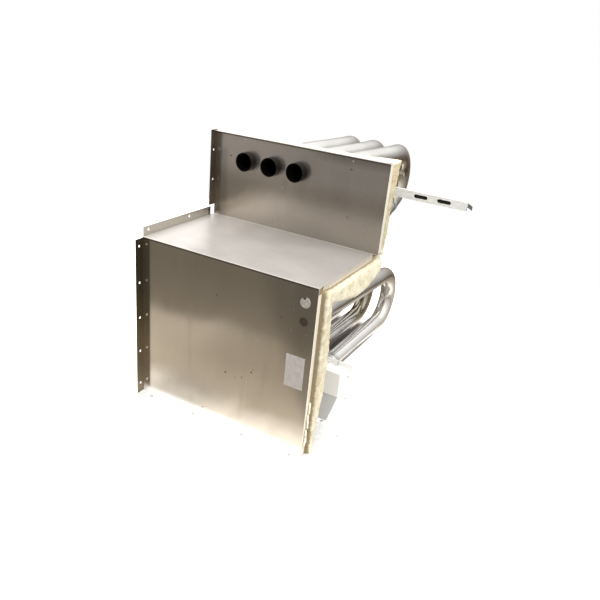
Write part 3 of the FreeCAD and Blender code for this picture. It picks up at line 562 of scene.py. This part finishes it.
def reflected_floor(m):
    """Colour of the floor in reflections: bright near the object and darker away from it."""
    beside = m.minus(m.size_of(m.minus(m.x, footprint_middle.x)), footprint_half.x)
    before = m.minus(m.size_of(m.minus(m.y, footprint_middle.y)), footprint_half.y)
    away = m.plus(m.largest(beside, before), m.times(m.minus(m.noise(5, 3, 0.5), 0.5), 0.16))
    tongue = m.times(m.span(m.x, -0.42, -0.34), m.below(m.x, -0.24, 0.02), m.span(away, 0.2, 0.35))
    away = m.minus(away, m.times(tongue, 0.05))
    nearest, farthest = floor_glow[0][0], floor_glow[-1][0]
    stops = [((distance - nearest) / (farthest - nearest), colour) for distance, colour in floor_glow]
    colour = m.ramp(m.span(away, nearest, farthest, smooth=False), stops)
    past_line = m.plus(m.times(m.minus(m.x, shade_line_point[0]), shade_line_normal[0]),
                       m.times(m.minus(m.y, shade_line_point[1]), shade_line_normal[1]))
    right_part = m.times(m.span(past_line, -0.012, 0.02), m.span(away, 0.02, 0.09), 0.36)
    left_corner = m.times(m.below(m.x, -0.14, 0.0), m.span(m.x, -0.36, -0.22),
                          m.below(away, 0.05, 0.12), 0.42)
    colour = m.darker(m.darker(colour, right_part), left_corner)
    lit_left = m.times(m.below(m.x, -0.48, -0.14), m.span(away, 0.06, 0.16),
                       m.below(away, 0.39, 0.42), 0.37)
    return m.mix(lit_left, colour, (1.1, 1.0, 0.85))


def floor_paper():
    """White to the camera, with a painted shadow under the lower tubes, and a glow in reflections."""
    m = Shader("floor_paper", Roughness=0.8, Emission_Color=(1, 1, 1))
    glow = m.tree.nodes.new("ShaderNodeEmission")
    m.feed(glow.inputs[0], reflected_floor(m))
    # Painted shadow on the floor under the lower tubes.
    painted_shadow = m.times(m.span(m.x, -0.15, -0.06), m.below(m.x, 0.07, 0.115),
                          m.span(m.y, 0.2, 0.5), m.below(m.y, 0.79, 0.88), 0.985)
    m.set(Base_Color=m.mix(painted_shadow, (0.9, 0.9, 0.9), (0.045, 0.036, 0.026)),
          Emission_Strength=m.times(m.rest(painted_shadow), floor_own_light))
    rays = m.tree.nodes.new("ShaderNodeLightPath")
    either = m.tree.nodes.new("ShaderNodeMixShader")
    m.feed(either.inputs[0], rays.outputs["Is Camera Ray"])
    m.feed(either.inputs[1], glow.outputs[0])
    m.feed(either.inputs[2], m.surface.outputs[0])
    m.feed(m.output.inputs[0], either.outputs[0])
    return m.material


makers = (panel_sheet_metal, tube_steel, galvanised_sheet, aluminised_sheet, plated_steel,
          gasket_fibre, glass_fibre_blanket)
materials = {maker.__name__: maker() for maker in makers}
slot_of = {part["node"]: part["material_slot"] for part in frame["record"]["subparts"]}
for name, item in nodes.items():
    item.data.materials.clear()
    item.data.materials.append(materials[slot_of[name]])
for name, base in (("hole_plug", (0.86, 0.84, 0.80)), ("knockout_disc", (0.12, 0.10, 0.075))):
    nodes[name].data.materials[0] = plug_steel(name, base)


# Meshes

def mesh_object(name, mesh, material):
    item = bpy.data.objects.new(name, mesh)
    scene.collection.objects.link(item)
    item.data.materials.clear()
    item.data.materials.append(material)
    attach(item, "root")
    return item


def finished_mesh(name, shape, smooth=False):
    """A mesh from bmesh work that is done."""
    mesh = bpy.data.meshes.new(name)
    shape.to_mesh(mesh)
    shape.free()
    for face in mesh.polygons:
        face.use_smooth = smooth
    return mesh


def box_mesh(name, low, high):
    shape = bmesh.new()
    bmesh.ops.create_cube(shape, size=1)
    for vertex in shape.verts:
        vertex.co = Vector([low[i] + (vertex.co[i] + 0.5) * (high[i] - low[i]) for i in range(3)])
    return finished_mesh(name, shape)


# Glass-fibre blankets

voxel = 0.004
longest_edge = 1.8 * voxel


def remeshed(node, size):
    """An even mesh of a CAD node's shape."""
    source = bpy.data.objects.new(node + "_source", nodes[node].data.copy())
    scene.collection.objects.link(source)
    remesh = source.modifiers.new("remesh", "REMESH")
    remesh.mode = "VOXEL"
    remesh.voxel_size = size
    graph = bpy.context.evaluated_depsgraph_get()
    mesh = bpy.data.meshes.new_from_object(source.evaluated_get(graph))
    bpy.data.objects.remove(source)
    return mesh


def washer_centres():
    """Middle of each washer, found as the separate islands of their one node."""
    islands = bmesh.new()
    islands.from_mesh(nodes["pin_washers"].data)
    bmesh.ops.remove_doubles(islands, verts=islands.verts, dist=0.00001)
    left = set(islands.verts)
    centres = []
    while left:
        island = set()
        edge = [left.pop()]
        while edge:
            vertex = edge.pop()
            island.add(vertex)
            for link in vertex.link_edges:
                other = link.other_vert(vertex)
                if other in left:
                    left.discard(other)
                    edge.append(other)
        low = Vector([min(v.co[i] for v in island) for i in range(3)])
        high = Vector([max(v.co[i] for v in island) for i in range(3)])
        centres.append((low + high) / 2)
    islands.free()
    return centres


washers = washer_centres()


def step(value, low, high):
    """0 at low, 1 at high, smooth between."""
    t = min(1, max(0, (value - low) / (high - low)))
    return t * t * (3 - 2 * t)


def lumps(point, scale):
    return noise.noise(point * scale)


def fibre(point, normal, sheet_side, edge):
    """Soft swell away from the washers, and a torn face at the open right edge."""
    free = min(step((point - washer).length, 0.019, 0.05) for washer in washers)
    swell = (0.0022 + 0.0016 * lumps(point, 14) + 0.001 * lumps(point, 60)) * free
    torn = 0.0016 * lumps(point, 60) + 0.0018 * lumps(point, 150) + 0.0013 * lumps(point, 330)
    at_edge = step(point.x, edge - 0.02, edge - 0.004)
    push = swell * (1 - at_edge) + (torn + 0.001) * at_edge
    return point + normal * (push * (1 - sheet_side))


def drooped(mesh, droop):
    """Moves the points by droop, and splits the edges that this has stretched."""
    shape = bmesh.new()
    shape.from_mesh(mesh)
    for vertex in shape.verts:
        vertex.co = droop(vertex.co.copy())
    for _ in range(3):
        stretched = [edge for edge in shape.edges if edge.calc_length() > longest_edge]
        if stretched:
            bmesh.ops.subdivide_edges(shape, edges=stretched, cuts=1, use_grid_fill=True)
    bmesh.ops.triangulate(shape, faces=[face for face in shape.faces if len(face.verts) > 4])
    shape.normal_update()
    shape.to_mesh(mesh)
    shape.free()


def blanket(name, node, droop, shape):
    """A blanket that replaces its plain node; droop and shape move each of its points."""
    mesh = remeshed(node, voxel)
    drooped(mesh, droop)
    moved = [shape(vertex.co.copy(), vertex.normal.copy()) for vertex in mesh.vertices]
    for vertex, place in zip(mesh.vertices, moved):
        place.x = max(place.x, panel_left)
        vertex.co = place
    for face in mesh.polygons:
        face.use_smooth = True
    item = mesh_object(name, mesh, materials["glass_fibre_blanket"])
    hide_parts(node)


def held(point, depth, right_edge):
    """1 where a blanket lies on its sheet or in its return flange, and 0 where it is free.

    depth is how far the point lies behind the outer face of the sheet.
    """
    at_return = step(point.x, right_edge - 0.03, right_edge - 0.02)
    in_return = at_return * (1 - step(depth, return_flange - 0.001, return_flange + 0.003))
    blanket_face = sheet + blanket_gap
    return max(in_return, 1 - step(depth, blanket_face + 0.002, blanket_face + 0.006))


def tucked(point, depth):
    """Draws the lip beyond a return flange in towards the flange's edge."""
    past = max(0, point.x - return_inside)
    point.x -= past * 0.6 * (1 - step(depth, return_flange, return_flange + 0.008))


def front_droop(point):
    """The blanket's free edge puffs out to the back, most at its middle."""
    heights = (0.047, 0.085, 0.135, 0.193, 0.234, 0.283, 0.317, 0.362, 0.422)
    bulges = (-0.006, 0.005, 0.020, 0.027, 0.029, 0.026, 0.024, 0.020, 0.012)
    free = step(point.x, tube_side + 0.004, front_blanket_high.x - 0.01)
    held_depth = return_flange + 0.002
    back_part = max(0, point.y - held_depth) / (front_blanket_high.y - held_depth)
    point.y += float(np.interp(point.z, heights, bulges)) * min(1, back_part) * free
    return point


def shelf_droop(point):
    """The blanket hangs down beside the last tube, most at its middle."""
    places = (0.02, 0.038, 0.093, 0.142, 0.195, 0.226, 0.266, 0.296, 0.33)
    drops = (0.003, 0.006, 0.018, 0.030, 0.041, 0.042, 0.039, 0.030, 0.020)
    free = step(point.x, tube_side + 0.006, tube_side + 0.03)
    held_level = shelf_return_edge - 0.002
    low_part = max(0, held_level - point.z) / (held_level - shelf_blanket_low.z)
    point.z -= float(np.interp(point.y, places, drops)) * min(1, low_part) * free
    return point


def upper_droop(point):
    """The lower right corner of the upper blanket hangs down with the shelf's."""
    free = step(point.x, tube_side + 0.02, upper_blanket_high.x - 0.02)
    low_part = 1 - step(point.z, upper_blanket_low.z, upper_blanket_low.z + 0.03)
    point.z -= 0.008 * low_part * free
    return point


def front_shape(point, normal):
    """Held at the wall and under the shelf's blanket, with a torn tuft low at the edge."""
    against = held(point, point.y, return_inside)
    against = max(against, step(point.z, front_blanket_high.z - 0.01, front_blanket_high.z - 0.002))
    moved = fibre(point, normal, against, front_blanket_high.x)
    tucked(moved, point.y)
    tuft = step(point.x, front_blanket_high.x - 0.02, front_blanket_high.x) * (1 - step(point.z, 0.09, 0.16))
    moved.y -= 0.006 * tuft * max(0, lumps(point, 55)) * (1 - against)
    moved.z = max(moved.z, front_blanket_low.z)
    return moved


def shelf_shape(point, normal):
    depth = shelf_level - point.z
    moved = fibre(point, normal, held(point, depth, return_inside), shelf_blanket_high.x)
    tucked(moved, depth + 0.004)
    return moved


def upper_shape(point, normal):
    """Held at the wall, with a top right corner that leans out to the back."""
    against = held(point, point.y - wall_face, upper_blanket_high.x)
    moved = fibre(point, normal, against, upper_blanket_high.x)
    rise = min(1, max(0, (point.z - shelf_level) / (panel_top - shelf_level)))
    lean = 0.005 + 0.034 * rise ** 2.2
    back_part = step(point.y, upper_blanket_low.y + 0.006, upper_blanket_high.y)
    moved.y += lean * back_part * step(point.x, upper_blanket_high.x - 0.1, upper_blanket_high.x)
    return moved


blanket("front_blanket", "front_insulation", front_droop, front_shape)
blanket("shelf_blanket", "shelf_insulation", shelf_droop, shelf_shape)
blanket("upper_blanket", "upper_insulation", upper_droop, upper_shape)


# Loose fibres and torn tufts

def strands(name, count, seed, begin, finish, spread, length):
    """Loose glass fibres that stick out along an edge, each a thin bent blade."""
    chance = random.Random(seed)
    half_width = 0.00022
    pieces = 3
    points = []
    faces = []
    for _ in range(count):
        root = begin.lerp(finish, chance.random()) + Vector([chance.uniform(-s, s) for s in spread])
        way = Vector((chance.uniform(0.1, 1), chance.uniform(-0.7, 0.7), chance.uniform(-0.9, 0.9)))
        way.normalize()
        bend = Vector([chance.uniform(-0.5, 0.5) for _ in range(3)])
        wide = way.cross(Vector((0.3, 0.9, 0.2))).normalized() * half_width
        reach = chance.uniform(*length)
        first = len(points)
        for k in range(pieces + 1):
            t = k / pieces
            middle = root + (way + bend * t) * (reach * t)
            points.append(middle - wide * (1 - t * 0.8))
            points.append(middle + wide * (1 - t * 0.8))
        for k in range(pieces):
            a = first + k * 2
            faces.append((a, a + 1, a + 3, a + 2))
    mesh = bpy.data.meshes.new(name)
    mesh.from_pydata(points, [], faces)
    item = mesh_object(name, mesh, materials["glass_fibre_blanket"])


edge_x = front_blanket_high.x
upper_middle = wall_face + 0.03
strands("front_strands", 260, 3, Vector((edge_x, 0.036, 0.02)),
        Vector((edge_x, 0.036, shelf_level - 0.02)), (0.001, 0.015, 0), (0.004, 0.011))
strands("shelf_strands", 200, 5, Vector((edge_x, 0.05, shelf_level - 0.035)),
        Vector((edge_x, wall_face, shelf_level - 0.05)), (0.001, 0, 0.014), (0.004, 0.010))
strands("upper_strands", 200, 7, Vector((edge_x, upper_middle, shelf_level + 0.01)),
        Vector((edge_x, upper_middle, panel_top - 0.005)), (0.001, 0.012, 0), (0.004, 0.011))


def torn_tufts(name, low, high, count, seed):
    """Flat tufts of fibre that lap over the return flange where the blanket is torn."""
    chance = random.Random(seed)
    shape = bmesh.new()
    for k in range(count):
        middle = low.lerp(high, (k + chance.random()) / count) + Vector((0, chance.uniform(-0.003, 0.003), 0))
        size = Vector((0.0018, chance.uniform(0.003, 0.006), chance.uniform(0.006, 0.013)))
        place = Matrix.Translation(middle) @ Matrix.Diagonal((*size, 1))
        made = bmesh.ops.create_icosphere(shape, subdivisions=3, radius=1, matrix=place)["verts"]
        for vertex in made:
            vertex.co += (vertex.co - middle) * 0.5 * lumps(vertex.co, 240)
    mesh = finished_mesh(name, shape, smooth=True)
    item = mesh_object(name, mesh, torn_fibre())


tuft_x = return_inside + 0.004
torn_tufts("front_tufts", Vector((tuft_x, 0.011, 0.035)), Vector((tuft_x, 0.016, 0.15)), 11, 4)


# Painted shade: a dark sheet inside the open rear channel, seen through its slots

# A dark sheet where the channel has no back, as painted shade for its slots.
channel_shade_sheet = box_mesh(
    "rear_channel_shade_sheet",
    Vector((channel_low.x + 0.001, channel_high.y - 0.0012, channel_low.z + channel_sheet)),
    Vector((channel_high.x - channel_tab - 0.001, channel_high.y - 0.0004, channel_high.z - channel_sheet)))
mesh_object("rear_channel_shade_sheet", channel_shade_sheet, channel_shade_sheet_steel())


# Bare plate where the photograph has a printed label

label_left = 0.181
label_right = 0.231
label_bottom = 0.1875
label_top = 0.2735
label_proud = 0.0004
label_plate = box_mesh("label_plate", Vector((label_left, -label_proud, label_bottom)),
                       Vector((label_right, 0, label_top)))
mesh_object("label_plate", label_plate, label_paper())


# Floor

floor_reach = 1.1
left = cad_low.x - floor_reach
right = cad_high.x + floor_reach
front = cad_low.y - floor_reach
back = cad_high.y + floor_reach
corners = [(left, front, 0), (right, front, 0), (right, back, 0), (left, back, 0)]
floor_mesh = bpy.data.meshes.new("floor")
floor_mesh.from_pydata(corners, [], [(0, 1, 2, 3)])
floor = bpy.data.objects.new("floor", floor_mesh)
floor.data.materials.append(floor_paper())
scene.collection.objects.link(floor)


# Surroundings: white to the camera, and a soft studio sky for light and reflections

def studio_sky(stops):
    """Each stop is a direction's height, from -1 straight down to 1 straight up, and its radiance."""
    world = bpy.data.worlds.new("studio")
    scene.world = world
    world.use_nodes = True
    tree = world.node_tree
    tree.nodes.clear()
    direction = tree.nodes.new("ShaderNodeTexCoord").outputs["Generated"]
    split = tree.nodes.new("ShaderNodeSeparateXYZ")
    tree.links.new(direction, split.inputs[0])
    height = tree.nodes.new("ShaderNodeMapRange")
    height.inputs["From Min"].default_value = -1
    tree.links.new(split.outputs[2], height.inputs["Value"])
    sky = tree.nodes.new("ShaderNodeValToRGB")
    fill_ramp(sky, [((rise + 1) / 2, colour) for rise, colour in stops])
    tree.links.new(height.outputs[0], sky.inputs[0])
    dim = tree.nodes.new("ShaderNodeBackground")
    tree.links.new(sky.outputs[0], dim.inputs[0])
    white = tree.nodes.new("ShaderNodeBackground")
    white.inputs[0].default_value = (1, 1, 1, 1)
    rays = tree.nodes.new("ShaderNodeLightPath")
    either = tree.nodes.new("ShaderNodeMixShader")
    tree.links.new(rays.outputs["Is Camera Ray"], either.inputs[0])
    tree.links.new(dim.outputs[0], either.inputs[1])
    tree.links.new(white.outputs[0], either.inputs[2])
    tree.links.new(either.outputs[0], tree.nodes.new("ShaderNodeOutputWorld").inputs[0])


studio_sky([(-0.4, (0.165, 0.14, 0.105)), (-0.17, (0.30, 0.27, 0.24)), (0.0, (0.48, 0.46, 0.44)),
            (0.3, (0.74, 0.73, 0.715)), (0.5, (1.04, 1.03, 1.01)), (0.78, (1.5, 1.48, 1.45))])


# Lights

def area_light(name, place, target, size, power):
    data = bpy.data.lights.new(name, "AREA")
    data.shape = "DISK"
    data.size = size
    data.energy = power
    item = bpy.data.objects.new(name, data)
    item.visible_glossy = False
    item.location = place
    item.rotation_euler = (Vector(target) - Vector(place)).to_track_quat("-Z", "Y").to_euler()
    scene.collection.objects.link(item)


area_light("top_light", (-0.6, 0.9, 2.6), (0, 0.3, 0.2), 2.2, 60)
area_light("right_light", (2.4, 0.5, 1.5), (0.25, 0.25, 0.2), 1.6, 45)
area_light("front_light", (0.8, -1.3, 2.1), (0.1, 0, 0.1), 1.5, 35)

scene.view_settings.view_transform = "Standard"
